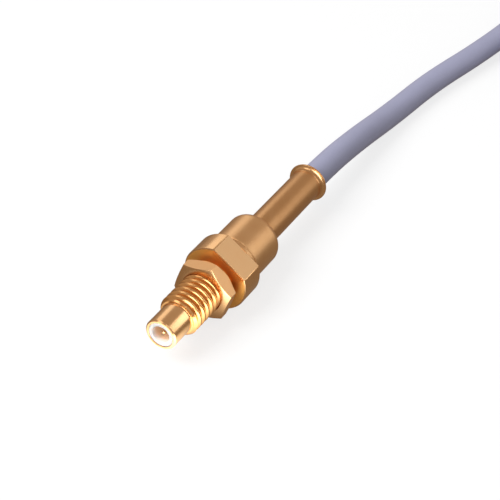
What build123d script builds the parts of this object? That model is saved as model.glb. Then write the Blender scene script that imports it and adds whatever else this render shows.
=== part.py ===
from build123d import *
from math import cos, pi, radians, sin, tan
import os

# Threaded coaxial panel jack on a length of cable, in millimetres.
# The axis runs along Y: the nose points to -Y, the cable leaves to +Y and +Z is up.
# y = 0 is the front face of the flange, which seats on the panel.

# Nose and thread
nose_front = -10.92
nose_length = 3.24
nose_r = 1.854
nose_rim_chamfer = 0.15
socket_r = 1.5
thread_major_r = 2.413
thread_lead_chamfer = 0.32
neck_length = 0.45
neck_r = 1.9

# Flange with two flats for a spanner
flange_r = 3.96
flange_length = 3.12
across_flats = 6.35
flat_turn = 36.0
flange_front_chamfer = 0.16
flange_rear_chamfer = 0.12

# Collar behind the flange, up to the joint between the two halves
collar_end = 3.7
joint_ease = 0.09

# Bores of the front half
insulator_seat = -4.0
web_bore_r = 1.1
counterbore_floor = 0.8
counterbore_r = 2.4

# Rear half: rounded shell and crimp stem
shell_r = 3.25
shell_end = 9.25
shell_rounding = 1.0
pilot_front = 2.2
chamber_r = 1.5
chamber_end = 7.5
stem_r = 1.15
stem_length = 5.3
stem_bore_r = 0.8
knurl_count = 24
knurl_depth = 0.07
knurl_margin = 0.5

# Clearance left between pieces that are pressed or pushed together
fit_gap = 0.02

# Insulators
front_recess = 0.07
plug_bore_r = 1.04
plug_bore_depth = 3.0

# Centre contact
pin_r = 0.255
pin_recess = 0.45
contact_r = 0.45
shoulder_r = 0.65
shoulder_length = 0.7
barrel_start = 1.1
barrel_end = 5.5
cup_r = 0.3
cup_depth = 3.0
cup_window_r = 0.16
cup_window_back = 0.9

# Crimp ferrule
ferrule_end = 21.84
ferrule_r = 1.93
ferrule_bore_r = 1.675
lip_r = 2.47
lip_length = 0.75
lip_edge = 0.12

# Nut and lock washer
nut_across_flats = 6.35
nut_thickness = 1.6
nut_front = -2.88
nut_turn = 20.5
nut_chamfer_angle = 30.0
nut_corner_ease = 0.04
nut_countersink = 0.05
running_gap = 0.05
washer_thickness = 0.4
washer_r = 2.95
washer_ring = 0.25
washer_teeth = 10
washer_tooth_width = 0.6

# Cable
cable_r = 1.6
jacket_start = 15.0
dielectric_r = 0.76
conductor_r = 0.255
braid_wall = 0.27

# The surface that the connector and its cable lie on touches the flange's round rim.
floor_z = -flange_r
cable_on_floor = floor_z + cable_r

# Coil of the put-away length: narrow turns side by side, with straight runs and round folds
coil_start = (5.8, 80.0)
coil_near_y = 75.0
coil_run = 25.6
coil_fold_r = 12.6
coil_pitch = 3.6
coil_end_gap = 4.0
tie_thickness = 0.4
coil_z = cable_on_floor + tie_thickness

# Cable tie round the coil
tie_width = 2.4
tie_y = 88.0
tie_play = 0.12
tie_head = (1.5, 3.2, 2.8)
tie_tail = 1.6

# Stripped far end
end_braid_length = 1.8
end_dielectric_length = 1.7
end_conductor_length = 2.0

# Places that follow from the sizes above
thread_front = nose_front + nose_length
nut_back = nut_front + nut_thickness
stem_end = shell_end + stem_length
along = Plane(origin=(0, 0, 0), x_dir=(1, 0, 0), z_dir=(0, 1, 0))


def station(y):
    """Plane square to the connector's axis at y, with its normal towards the cable."""
    return along.offset(y)


# Front half: nose, threaded barrel, flange and collar turned in one piece, with two flats on the flange.
# The barrel is plain at the thread's major diameter.
flat_depth = flange_r - across_flats / 2

with BuildPart() as threaded_nose:
    with BuildSketch(Plane.XY):
        with BuildLine():
            Polyline(
                (0, nose_front),
                (nose_r - nose_rim_chamfer, nose_front),
                (nose_r, nose_front + nose_rim_chamfer),
                (nose_r, thread_front),
                (thread_major_r - thread_lead_chamfer, thread_front),
                (thread_major_r, thread_front + thread_lead_chamfer),
                (thread_major_r, -neck_length),
                (neck_r, -neck_length),
                (neck_r, 0),
                (0, 0),
                close=True,
            )
        make_face()
    revolve(axis=Axis.Y)

with BuildPart() as body:
    with BuildSketch(station(0)):
        Circle(flange_r)
    extrude(amount=flange_length)
    chamfer(edges().filter_by(GeomType.CIRCLE).sort_by(Axis.Y)[-1], flange_rear_chamfer)
    with BuildSketch(station(0)):
        with Locations(Rotation(0, 0, flat_turn)):
            with Locations((0, -flange_r), (0, flange_r)):
                Rectangle(2 * flange_r, 2 * flat_depth)
    extrude(amount=flange_length, mode=Mode.SUBTRACT)
    chamfer(faces().sort_by(Axis.Y)[0].outer_wire().edges(), flange_front_chamfer)
    # the collar stands a little proud of the flats, so the cutter's run ends against it
    with BuildSketch(station(flange_length)):
        Circle(shell_r)
    extrude(amount=collar_end - flange_length)
    chamfer(edges().filter_by(GeomType.CIRCLE).sort_by(Axis.Y)[-1], joint_ease)
    add(threaded_nose.part)
    # socket for the front insulator, clear bore, and the rear half's seat
    with BuildSketch(station(nose_front)):
        Circle(socket_r)
    extrude(amount=insulator_seat - nose_front, mode=Mode.SUBTRACT)
    with BuildSketch(station(nose_front)):
        Circle(web_bore_r)
    extrude(amount=collar_end - nose_front, mode=Mode.SUBTRACT)
    with BuildSketch(station(counterbore_floor)):
        Circle(counterbore_r)
    extrude(amount=collar_end - counterbore_floor, mode=Mode.SUBTRACT)
body.part.label = "body"

# Rear half: a pilot pressed into the collar, the rounded shell and the crimp stem behind it.
pilot_r = counterbore_r - fit_gap
shell_corner = shell_rounding * (1 - cos(radians(45)))
with BuildPart() as rear_sleeve:
    with BuildSketch(Plane.XY):
        with BuildLine():
            Polyline(
                (stem_bore_r, stem_end),
                (stem_bore_r, chamber_end),
                (chamber_r, chamber_end),
                (chamber_r, pilot_front),
                (pilot_r, pilot_front),
                (pilot_r, collar_end),
                (shell_r - joint_ease, collar_end),
                (shell_r, collar_end + joint_ease),
                (shell_r, shell_end - shell_rounding),
            )
            ThreePointArc(
                (shell_r, shell_end - shell_rounding),
                (shell_r - shell_corner, shell_end - shell_corner),
                (shell_r - shell_rounding, shell_end),
            )
            Polyline(
                (shell_r - shell_rounding, shell_end),
                (stem_r, shell_end),
                (stem_r, stem_end),
                (stem_bore_r, stem_end),
            )
        make_face()
    revolve(axis=Axis.Y)
    # straight knurl on the stem, which the braid is crimped onto
    with BuildSketch(station(shell_end + knurl_margin)):
        with PolarLocations(stem_r, knurl_count):
            Rectangle(2 * knurl_depth, 2 * knurl_depth, rotation=45)
    extrude(amount=stem_length - knurl_margin, mode=Mode.SUBTRACT)
rear_sleeve.part.label = "rear_sleeve"

# Front insulator: the white ring in the nose, with the plug's bore round the pin.
insulator_front = nose_front + front_recess
plug_bore_floor = insulator_front + plug_bore_depth
with BuildPart() as front_insulator:
    with BuildSketch(station(insulator_front)):
        Circle(socket_r - fit_gap)
        Circle(contact_r + fit_gap, mode=Mode.SUBTRACT)
    extrude(amount=insulator_seat - insulator_front)
    with BuildSketch(station(insulator_front)):
        Circle(plug_bore_r)
    extrude(amount=plug_bore_depth, mode=Mode.SUBTRACT)
    mouth = edges().filter_by(GeomType.CIRCLE).group_by(Axis.Y)[0]
    chamfer(mouth.sort_by(SortBy.RADIUS)[0], nose_rim_chamfer / 2)
front_insulator.part.label = "front_insulator"

# Rear insulator: a disc held between the counterbore's floor and the pilot.
with BuildPart() as rear_insulator:
    with BuildSketch(station(counterbore_floor)):
        Circle(pilot_r)
        Circle(shoulder_r + fit_gap, mode=Mode.SUBTRACT)
    extrude(amount=pilot_front - counterbore_floor)
rear_insulator.part.label = "rear_insulator"

# Centre contact: pin, shoulder behind the front insulator, and a barrel with a solder cup.
pin_tip = nose_front + pin_recess
with BuildPart() as contact_pin:
    with BuildSketch(Plane.XY):
        with BuildLine():
            ThreePointArc(
                (0, pin_tip),
                (pin_r * sin(radians(45)), pin_tip + pin_r * (1 - cos(radians(45)))),
                (pin_r, pin_tip + pin_r),
            )
            Polyline(
                (pin_r, pin_tip + pin_r),
                (pin_r, plug_bore_floor),
                (contact_r, plug_bore_floor),
                (contact_r, insulator_seat),
                (shoulder_r, insulator_seat),
                (shoulder_r, insulator_seat + shoulder_length),
                (contact_r, insulator_seat + shoulder_length),
                (contact_r, barrel_start),
                (shoulder_r, barrel_start),
                (shoulder_r, barrel_end),
                (cup_r, barrel_end),
                (cup_r, barrel_end - cup_depth),
                (0, barrel_end - cup_depth),
                (0, pin_tip),
            )
        make_face()
    revolve(axis=Axis.Y)
    with BuildSketch(Plane.XY.offset(cup_r / 2)):
        with Locations((0, barrel_end - cup_window_back)):
            Circle(cup_window_r)
    extrude(amount=shoulder_r, mode=Mode.SUBTRACT)
contact_pin.part.label = "contact_pin"

# Crimp ferrule: a thin tube that butts on the shell, with a belled lip at the cable's end.
lip_start = ferrule_end - lip_length
with BuildPart() as crimp_ferrule:
    with BuildSketch(Plane.XY):
        with BuildLine():
            Line((ferrule_bore_r, shell_end), (ferrule_r, shell_end))
            Line((ferrule_r, shell_end), (ferrule_r, lip_start))
            outer = TangentArc(
                (ferrule_r, lip_start), (lip_r, ferrule_end - lip_edge), tangent=(0, 1)
            )
            ThreePointArc(
                outer @ 1,
                (lip_r - lip_edge / 4, ferrule_end - lip_edge / 4),
                (lip_r - lip_edge, ferrule_end),
            )
            inner = TangentArc(
                (ferrule_bore_r, lip_start), (lip_r - 2 * lip_edge, ferrule_end), tangent=(0, 1)
            )
            Line((lip_r - lip_edge, ferrule_end), inner @ 1)
            Line(inner @ 0, (ferrule_bore_r, shell_end))
        make_face()
    revolve(axis=Axis.Y)
crimp_ferrule.part.label = "crimp_ferrule"

# Hexagon nut, chamfered on both faces. Its plain bore just clears the thread's crests.
nut_bore_r = thread_major_r + running_gap
nut_half = nut_across_flats / 2
nut_corner = nut_half / cos(radians(30))
nut_rim = nut_half - nut_corner_ease
chamfer_depth = (nut_corner - nut_rim) * tan(radians(nut_chamfer_angle))
with BuildPart() as hex_nut:
    with BuildSketch(station(nut_front)):
        RegularPolygon(radius=nut_half, side_count=6, major_radius=False, rotation=nut_turn - 90)
        Circle(nut_bore_r, mode=Mode.SUBTRACT)
    extrude(amount=nut_thickness)
    with BuildSketch(Plane.XY):
        with BuildLine():
            Polyline(
                (0, nut_front),
                (nut_rim, nut_front),
                (nut_corner, nut_front + chamfer_depth),
                (nut_corner, nut_back - chamfer_depth),
                (nut_rim, nut_back),
                (0, nut_back),
                close=True,
            )
        make_face()
    revolve(axis=Axis.Y, mode=Mode.INTERSECT)
    bore_rims = edges().filter_by(GeomType.CIRCLE).filter_by(lambda e: e.radius < nut_bore_r + fit_gap)
    chamfer(bore_rims, nut_countersink)
hex_nut.part.label = "hex_nut"

# Internal tooth lock washer, carried on the thread behind the nut.
with BuildPart() as lock_washer:
    with BuildSketch(station(nut_back)):
        Circle(washer_r)
        Circle(washer_r - washer_ring, mode=Mode.SUBTRACT)
        with PolarLocations(nut_bore_r, washer_teeth):
            Rectangle(2 * (washer_r - washer_ring - nut_bore_r) + fit_gap, washer_tooth_width)
        Circle(nut_bore_r, mode=Mode.SUBTRACT)
    extrude(amount=washer_thickness)
lock_washer.part.label = "lock_washer"

# Inside the crimp: the cable's braid over the stem, its dielectric in the stem, and its conductor.
with BuildPart() as cable_braid:
    with BuildSketch(station(shell_end + knurl_margin)):
        Circle(stem_r + fit_gap + braid_wall)
        Circle(stem_r + fit_gap, mode=Mode.SUBTRACT)
    extrude(amount=jacket_start - shell_end - knurl_margin)
cable_braid.part.label = "cable_braid"

dielectric_front = barrel_end + cup_r
with BuildPart() as cable_dielectric:
    with BuildSketch(station(dielectric_front)):
        Circle(dielectric_r)
    extrude(amount=jacket_start - dielectric_front)
    with BuildSketch(station(dielectric_front)):
        Circle(conductor_r)
    extrude(amount=jacket_start - dielectric_front, mode=Mode.SUBTRACT)
cable_dielectric.part.label = "cable_dielectric"

with BuildPart() as cable_conductor:
    with BuildSketch(station(barrel_end - cup_depth)):
        Circle(conductor_r)
    extrude(amount=jacket_start - barrel_end + cup_depth)
cable_conductor.part.label = "cable_conductor"

# Free cable: out of the ferrule, down to the surface it lies on, and away to the coil.
route = [
    (0, jacket_start, 0),
    (0, 25.2, 0),
    (0.15, 34.4, -0.85),
    (0.45, 44.5, cable_on_floor),
    (1.6, 55.0, cable_on_floor + 0.05),
    (4.1, 65.2, coil_z - 0.15),
    (coil_start[0], 75.0, coil_z),
    (*coil_start, coil_z),
]
runs = [(Vector(*b) - Vector(*a)) for a, b in zip(route, route[1:])]
bend_radii = []
for before, after in zip(runs, runs[1:]):
    turn = before.get_angle(after)
    shorter = min(before.length, after.length)
    bend_radii.append(0.45 * shorter / tan(radians(turn / 2)))
print("cable bend radii, mm:", [round(r, 1) for r in bend_radii])

with BuildPart() as cable:
    with BuildLine() as cable_path:
        FilletPolyline(*route, radius=bend_radii)
    with BuildSketch(Plane(origin=cable_path.line @ 0, z_dir=cable_path.line % 0)):
        Circle(cable_r)
    sweep(path=cable_path.line)
cable.part.label = "cable"
tube_length = sum(edge.length for edge in cable_path.line.edges())
print("cable tube length, mm:", round(tube_length, 2))
print("volume over section times length:", round(cable.part.volume / (pi * cable_r**2 * tube_length), 5))


def fold_edge(centre, radius, way):
    """Half circle round a fold's centre, on its far side (way 1) or its near side (way -1)."""
    x, y = centre
    return ThreePointArc((x - radius, y), (x, y + way * radius), (x + radius, y))


# The coil is one solid of the turns' outer shape. The cable's tube meets the step at its start, and the
# stripped end leaves the step inside.
near_fold_r = coil_fold_r - coil_pitch / 2
inner_fold_r = coil_fold_r - coil_pitch
far_fold = (coil_start[0] + coil_fold_r, coil_near_y + coil_run)
near_fold = (far_fold[0] + coil_pitch / 2, coil_near_y)
coil_end = (far_fold[0] + inner_fold_r, coil_near_y + coil_end_gap)
with BuildPart() as cable_coil:
    with BuildSketch(Plane.XY.offset(coil_z - cable_r)):
        with BuildLine():
            far_rim = fold_edge(far_fold, coil_fold_r + cable_r, 1)
            near_rim = fold_edge(near_fold, near_fold_r + cable_r, -1)
            Line(far_rim @ 1, near_rim @ 1)
            step = coil_start[1]
            Polyline(near_rim @ 0, ((near_rim @ 0).X, step), ((far_rim @ 0).X, step), far_rim @ 0)
        make_face()
        with BuildLine():
            far_eye = fold_edge(far_fold, inner_fold_r - cable_r, 1)
            near_eye = fold_edge(near_fold, near_fold_r - cable_r, -1)
            Line(far_eye @ 0, near_eye @ 0)
            step = coil_end[1]
            Polyline(far_eye @ 1, ((far_eye @ 1).X, step), ((near_eye @ 1).X, step), near_eye @ 1)
        make_face(mode=Mode.SUBTRACT)
    extrude(amount=2 * cable_r)
cable_coil.part.label = "cable_coil"
runs_length = 4 * coil_run - (coil_start[1] - coil_near_y) - coil_end_gap
print("cable length in the coil, mm:", round(runs_length + pi * (coil_fold_r + near_fold_r + inner_fold_r), 2))

# Cable tie: a strap round two runs side by side, with its head and cut tail in the coil's eye.
tie_inside = (coil_pitch + 2 * cable_r, 2 * cable_r)
tie_plane = Plane(
    origin=(coil_start[0] + coil_pitch / 2, tie_y, coil_z), x_dir=(1, 0, 0), z_dir=(0, -1, 0)
)
strap_hole = (tie_inside[0] + 2 * tie_play, tie_inside[1] + 2 * tie_play)
strap_outer = (strap_hole[0] + 2 * (tie_thickness - tie_play), strap_hole[1] + 2 * (tie_thickness - tie_play))
with BuildPart() as coil_tie:
    with BuildSketch(tie_plane.offset(-tie_width / 2)):
        RectangleRounded(strap_outer[0], strap_outer[1], 0.5)
        RectangleRounded(strap_hole[0], strap_hole[1], 0.2, mode=Mode.SUBTRACT)
    extrude(amount=tie_width)
    # the head stands beside the strap, and the cut tail comes up through it
    with BuildSketch(tie_plane.offset(-tie_head[2] / 2)):
        with Locations((strap_outer[0] / 2 + tie_head[0] / 2 - tie_play, 0)):
            RectangleRounded(tie_head[0], tie_head[1], 0.3)
    extrude(amount=tie_head[2])
    with BuildSketch(tie_plane.offset(-tie_width / 2)):
        with Locations((strap_outer[0] / 2 + tie_head[0] / 2, tie_head[1] / 2 + tie_tail / 2 - tie_play)):
            Rectangle(tie_thickness, tie_tail)
    extrude(amount=tie_width)
coil_tie.part.label = "coil_tie"

# Stripped far end, inside the coil's eye: braid, dielectric and bare conductor in line.
end_plane = Plane(origin=(*coil_end, coil_z), x_dir=(0, 0, 1), z_dir=(0, -1, 0))
with BuildPart() as end_braid:
    with BuildSketch(end_plane):
        Circle(dielectric_r + fit_gap + braid_wall)
        Circle(dielectric_r + fit_gap, mode=Mode.SUBTRACT)
    extrude(amount=end_braid_length)
end_braid.part.label = "end_braid"

with BuildPart() as end_dielectric:
    with BuildSketch(end_plane):
        Circle(dielectric_r)
        Circle(conductor_r, mode=Mode.SUBTRACT)
    extrude(amount=end_braid_length + end_dielectric_length)
end_dielectric.part.label = "end_dielectric"

with BuildPart() as end_conductor:
    with BuildSketch(end_plane):
        Circle(conductor_r)
    extrude(amount=end_braid_length + end_dielectric_length + end_conductor_length)
end_conductor.part.label = "end_conductor"

pieces = [
    body,
    rear_sleeve,
    front_insulator,
    rear_insulator,
    contact_pin,
    crimp_ferrule,
    hex_nut,
    lock_washer,
    cable_braid,
    cable_dielectric,
    cable_conductor,
    cable,
    cable_coil,
    coil_tie,
    end_braid,
    end_dielectric,
    end_conductor,
]
os.makedirs("parts", exist_ok=True)
for piece in pieces:
    export_step(piece.part, f"parts/{piece.part.label}.step")
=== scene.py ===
# %% [markdown]
# # A gold-plated coaxial panel jack on its cable
#
# The jack is a small turned part: a nose that a plug slides over, a fine thread with a nut and a lock
# washer, a flange with two spanner flats, a rounded shell, and a crimped ferrule that holds a thin cable.
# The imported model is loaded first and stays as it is. Every piece made below stands for one of its nodes,
# lies where that node lies, and rides on the same body, so that the nut still runs along the thread.

import math

import bmesh
import bpy
from mathutils import Matrix, Vector


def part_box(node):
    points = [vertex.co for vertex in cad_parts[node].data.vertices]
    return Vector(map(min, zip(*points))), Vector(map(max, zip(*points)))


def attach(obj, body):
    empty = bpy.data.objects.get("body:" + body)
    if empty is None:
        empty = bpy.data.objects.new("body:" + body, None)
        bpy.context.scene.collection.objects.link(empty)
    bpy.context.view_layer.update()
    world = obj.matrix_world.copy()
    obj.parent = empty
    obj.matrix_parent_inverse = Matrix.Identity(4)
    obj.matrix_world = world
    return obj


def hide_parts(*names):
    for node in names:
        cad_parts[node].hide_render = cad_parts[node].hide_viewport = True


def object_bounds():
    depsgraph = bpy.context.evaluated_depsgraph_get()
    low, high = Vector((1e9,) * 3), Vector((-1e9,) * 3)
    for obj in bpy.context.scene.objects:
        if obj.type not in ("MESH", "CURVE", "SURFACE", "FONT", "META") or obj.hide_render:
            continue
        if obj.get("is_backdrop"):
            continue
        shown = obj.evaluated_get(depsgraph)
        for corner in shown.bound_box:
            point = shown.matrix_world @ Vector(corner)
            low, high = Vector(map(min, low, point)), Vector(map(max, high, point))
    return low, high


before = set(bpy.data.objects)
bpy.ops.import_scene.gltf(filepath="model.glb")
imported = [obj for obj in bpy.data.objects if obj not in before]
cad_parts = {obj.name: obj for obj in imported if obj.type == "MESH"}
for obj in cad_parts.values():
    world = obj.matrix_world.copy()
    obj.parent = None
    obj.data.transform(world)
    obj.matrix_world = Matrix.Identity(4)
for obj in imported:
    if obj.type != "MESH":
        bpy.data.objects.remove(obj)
cad_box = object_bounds()
MM = 0.001
print("nodes:", sorted(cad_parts))

# %% [markdown]
# ## Camera
#
# The photograph looks down on the nose from the front right, through a long lens. A camera turns by its
# own axes: its local Z points back from the subject, so a direction that points away from the jack and a
# track quaternion are enough. The distance and the lens belong together, because they set the perspective.

# %% Place the camera
CAMERA_AZIMUTH = math.radians(29.93)
CAMERA_ELEVATION = math.radians(36.94)
CAMERA_DISTANCE = 151.34 * MM
CAMERA_AIM = Vector((1.02, 5.98, 0.45)) * MM
LENS = 97.3
SENSOR = 36.0


def place_camera():
    """The camera of the photograph, aimed at a point just behind the flange."""
    level = math.cos(CAMERA_ELEVATION)
    away = Vector(
        (math.sin(CAMERA_AZIMUTH) * level, -math.cos(CAMERA_AZIMUTH) * level, math.sin(CAMERA_ELEVATION))
    )
    data = bpy.data.cameras.new("photo_camera")
    data.lens = LENS
    data.sensor_width = SENSOR
    data.clip_start = 0.01
    camera = bpy.data.objects.new("photo_camera", data)
    camera.location = CAMERA_AIM + away * CAMERA_DISTANCE
    camera.rotation_mode = "QUATERNION"
    camera.rotation_quaternion = away.to_track_quat("Z", "Y")
    bpy.context.scene.collection.objects.link(camera)
    bpy.context.scene.camera = camera
    return camera


camera = place_camera()
print("camera at", [round(x, 4) for x in camera.location])

# %% [markdown]
# ## The cable's route
#
# The cable leaves the ferrule straight, sinks to the surface under its own weight, and runs out of the
# view into a flat, narrow coil of the length that is put away. A NURBS spline with few control points
# bends the way a cable does, with no corners. The coil's turns are more control points of that spline:
# each fold is a half circle, a little smaller than the one before, and the runs between need no points.

# %% Lay the cable
FLOOR_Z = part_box("body")[0].z / MM
CABLE_R = 1.6
CABLE_REST_Z = FLOOR_Z + CABLE_R
TIE_THICKNESS = 0.4
COIL_Z = CABLE_REST_Z + TIE_THICKNESS
JACKET_START = 15.0
COIL_START = (5.8, 80.0)
COIL_NEAR_Y = 75.0
COIL_RUN = 25.6
COIL_FOLD_R = 12.6
COIL_PITCH = 3.6
COIL_END_GAP = 4.0
FOLDS = 3
FOLD_STEPS = 12
LAST_STEP = 0.3
FAR_FOLD = (COIL_START[0] + COIL_FOLD_R, COIL_NEAR_Y + COIL_RUN)
NEAR_FOLD = (FAR_FOLD[0] + COIL_PITCH / 2, COIL_NEAR_Y)
COIL_END = Vector((FAR_FOLD[0] + COIL_FOLD_R - COIL_PITCH, COIL_NEAR_Y + COIL_END_GAP, COIL_Z))
ROUTE = [
    (0, JACKET_START, 0),
    (0, 25.2, 0),
    (0.15, 34.4, -0.85),
    (0.45, 44.5, CABLE_REST_Z),
    (1.6, 55.0, CABLE_REST_Z + 0.05),
    (4.1, 65.2, COIL_Z - 0.15),
    (COIL_START[0], COIL_NEAR_Y, COIL_Z),
    (*COIL_START, COIL_Z),
]


def coil_points():
    """The coil's folds in turn: far ones bulge away from the jack and near ones towards it."""
    points = []
    for fold in range(FOLDS):
        way = 1 if fold % 2 == 0 else -1
        x, y = FAR_FOLD if way == 1 else NEAR_FOLD
        radius = COIL_FOLD_R - fold * COIL_PITCH / 2
        for i in range(FOLD_STEPS + 1):
            angle = math.pi * i / FOLD_STEPS
            place = (x - way * radius * math.cos(angle), y + way * radius * math.sin(angle), COIL_Z)
            points.append(Vector(place))
    return points


def cable_points():
    """The route as listed, then the coil, with a last point close to the end to square it off."""
    return [Vector(p) for p in ROUTE] + coil_points() + [COIL_END + Vector((0, LAST_STEP, 0)), COIL_END]


def cable_curve(points):
    """A round tube along one open NURBS spline. Each point carries the tube's radius there."""
    data = bpy.data.curves.new("cable_jacket", "CURVE")
    data.dimensions = "3D"
    data.bevel_depth = 1.0
    data.bevel_resolution = 8
    data.use_fill_caps = True
    spline = data.splines.new("NURBS")
    spline.points.add(len(points) - 1)
    for place, point in zip(spline.points, points):
        place.co = (*(point * MM), 1.0)
        place.radius = CABLE_R * MM
    spline.order_u = 3
    spline.use_endpoint_u = True
    spline.resolution_u = 6
    cable = bpy.data.objects.new("cable_jacket", data)
    bpy.context.scene.collection.objects.link(cable)
    return cable, spline.calc_length()


cable_jacket, cable_length = cable_curve(cable_points())
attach(cable_jacket, "connector")
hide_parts("cable", "cable_coil")
print("cable length, mm:", round(cable_length / MM, 1))

# %% [markdown]
# ## Writing shaders as sums
#
# A procedural finish is arithmetic on coordinates and noise. This small class wraps a node's output, so
# that ordinary Python operators add the Math nodes, and the maths reads as it would on paper, also with
# the number in front, as in 0.6 * blotch. Any other node comes from one method: its settings go in first,
# because they can change which sockets it has.

# %% The shader helper


class Wire:
    """One output of a node. Arithmetic on it adds Math nodes."""

    def __init__(self, finish, socket):
        self.finish = finish
        self.socket = socket

    def sum(self, operation, *values):
        return self.finish.node("ShaderNodeMath", {"operation": operation}, dict(enumerate(values)))

    def __add__(self, other):
        return self.sum("ADD", self, other)

    def __mul__(self, other):
        return self.sum("MULTIPLY", self, other)

    __radd__ = __add__
    __rmul__ = __mul__


class Finish:
    """A material or world whose nodes are being put together."""

    def __init__(self, owner):
        owner.use_nodes = True
        self.owner = owner
        self.tree = owner.node_tree
        self.tree.nodes.clear()

    def node(self, kind, settings=None, sockets=None, output=0):
        """A node of this kind, with its settings made first, then its sockets set or linked."""
        made = self.tree.nodes.new(kind)
        for name, value in (settings or {}).items():
            setattr(made, name, value)
        for name, value in (sockets or {}).items():
            if isinstance(value, Wire):
                self.tree.links.new(value.socket, made.inputs[name])
            else:
                made.inputs[name].default_value = value
        return Wire(self, made.outputs[output])

    def place(self, scale=1.0):
        """Object coordinates in millimetres, times a scale."""
        point = self.node("ShaderNodeTexCoord", output="Object")
        sockets = {0: point, "Scale": scale / MM}
        return self.node("ShaderNodeVectorMath", {"operation": "SCALE"}, sockets)

    def axis(self, point, name):
        """One number of a vector: X, Y or Z."""
        return self.node("ShaderNodeSeparateXYZ", sockets={0: point}, output=name)

    def noise(self, size, detail=2.0, point=None):
        """Noise from 0 to 1 whose blotches are about size millimetres across."""
        point = point or self.place(1 / size)
        return self.node("ShaderNodeTexNoise", sockets={"Vector": point, "Scale": 1.0, "Detail": detail})

    def tint(self, amount, low, high):
        """A colour between two others. Each is three numbers or a Wire."""
        low, high = (c if isinstance(c, Wire) else (*c, 1.0) for c in (low, high))
        return self.node("ShaderNodeMix", {"data_type": "RGBA"}, {0: amount, 6: low, 7: high}, output=2)

    def bump(self, height):
        """A normal from a height in millimetres."""
        return self.node("ShaderNodeBump", sockets={"Height": height, "Distance": MM, "Strength": 1.0})

    def surface(self, **sockets):
        """The Principled shader on the material's output. Socket names are written with underscores."""
        named = {name.replace("_", " "): value for name, value in sockets.items()}
        shader = self.node("ShaderNodeBsdfPrincipled", sockets=named)
        self.output("ShaderNodeOutputMaterial", shader)
        return self.owner

    def output(self, kind, shader):
        made = self.tree.nodes.new(kind)
        self.tree.links.new(shader.socket, made.inputs["Surface"])


print("Wire adds Math nodes, and Finish.node adds the others")

# %% [markdown]
# ## Gold plating
#
# Gold over brass takes its look from what it reflects, so the colour is nearly one value and the finish
# is in the roughness and the bump. Turned faces carry fine rings round the axis: noise that reads only
# the distance along Y gives them. Tumbled faces carry a fine grain, which is noise in all directions. A
# milled or pressed face also scatters some light, so it is a little less than fully metallic, and the
# flats' gold is painted paler, a painted highlight. Between the nut and the flange light bounces from gold
# to gold and turns orange. A render follows only a few of those bounces, so the two faces in that gap get
# a deeper orange gold, and so does the thread: painted bounce light. The ferrule's tube is painted a
# darker gold, painted shade that keeps its highlights dim.

# %% Mix the gold finishes
GOLD_DEEP = (0.93, 0.56, 0.27)
GOLD_PALE = (0.99, 0.64, 0.33)
BLOTCH_SIZE = 1.3


def plated_gold(
    name, rough, rings=(0.15, 0.0), grain=(0.15, 0.0), deep=GOLD_DEEP, pale=GOLD_PALE, metal=1.0
):
    """Gold plating. rough is (lowest, highest); rings and grain are (spacing, depth) in millimetres."""
    finish = Finish(bpy.data.materials.new(name))
    blotch = finish.noise(BLOTCH_SIZE, detail=3.0)
    fine = finish.noise(grain[0], detail=2.0)
    along = finish.axis(finish.place(1 / rings[0]), "Y")
    ring = finish.node(
        "ShaderNodeTexNoise", {"noise_dimensions": "1D"}, {"W": along, "Scale": 1.0, "Detail": 2.0}
    )
    return finish.surface(
        Base_Color=finish.tint(blotch, deep, pale),
        Metallic=metal,
        Roughness=rough[0] + (rough[1] - rough[0]) * (0.6 * blotch + 0.4 * fine),
        Normal=finish.bump(ring * rings[1] + fine * grain[1]),
    )


TURNED_GOLD = plated_gold("turned_gold", (0.20, 0.28), rings=(0.14, 0.0010), grain=(0.5, 0.0006))
# The thread's deeper orange gold is painted bounce light between its flanks.
THREAD_BOUNCE_GOLD = plated_gold(
    "thread_bounce_gold", (0.16, 0.24), grain=(0.3, 0.0010), deep=(0.93, 0.49, 0.18), pale=(0.98, 0.57, 0.24)
)
# The milled gold is painted paler: a painted highlight on the bright flats.
MILLED_LIT_GOLD = plated_gold(
    "milled_lit_gold", (0.48, 0.56), grain=(0.2, 0.0030),
    deep=(0.99, 0.63, 0.32), pale=(1.0, 0.69, 0.38), metal=0.8,
)
SATIN_GOLD = plated_gold("satin_gold", (0.27, 0.38), rings=(0.2, 0.0008), grain=(0.20, 0.0080))
# The tube's darker gold is painted shade, which keeps its highlights dim.
TUBE_SHADE_GOLD = plated_gold(
    "tube_shade_gold", (0.27, 0.37), grain=(0.20, 0.0080), deep=(0.76, 0.43, 0.19), pale=(0.84, 0.51, 0.25)
)
TUMBLED_GOLD = plated_gold("tumbled_gold", (0.36, 0.50), grain=(0.18, 0.0120))
# The seat's deep orange gold is painted bounce light from the gap behind the nut.
SEAT_BOUNCE_GOLD = plated_gold(
    "seat_bounce_gold", (0.36, 0.44), grain=(0.2, 0.0020),
    deep=(1.0, 0.49, 0.11), pale=(1.0, 0.55, 0.16), metal=0.9,
)
# The washer's deeper gold is painted bounce light from the same gap.
WASHER_BOUNCE_GOLD = plated_gold(
    "washer_bounce_gold", (0.36, 0.44), grain=(0.2, 0.0015),
    deep=(1.0, 0.58, 0.22), pale=(1.0, 0.64, 0.28), metal=0.8,
)
CONTACT_GOLD = plated_gold(
    "contact_gold", (0.16, 0.22), rings=(0.1, 0.0005), deep=(0.78, 0.50, 0.24), pale=(0.86, 0.60, 0.32)
)
print("gold finishes:", [m.name for m in bpy.data.materials if m.name.endswith("gold")])

# %% [markdown]
# ## Insulator, jacket, braid and nylon
#
# The white insulator is a soft, slightly waxy plastic that lets a little light into it, so it gets a
# small subsurface share. Deep in the nose's bore a tan is painted in along the axis: a painted reflection
# of the gold behind it. The cable's jacket is a soft plastic with a broad sheen and faint dull patches.
# The braid and the solid wire are silver-plated copper, and the tie is pale nylon.

# %% Mix the other finishes
# Where the painted tan, a painted reflection of the gold, fades in along the bore.
GOLD_GLOW_START = -10.8
GOLD_GLOW_END = -9.9


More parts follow.
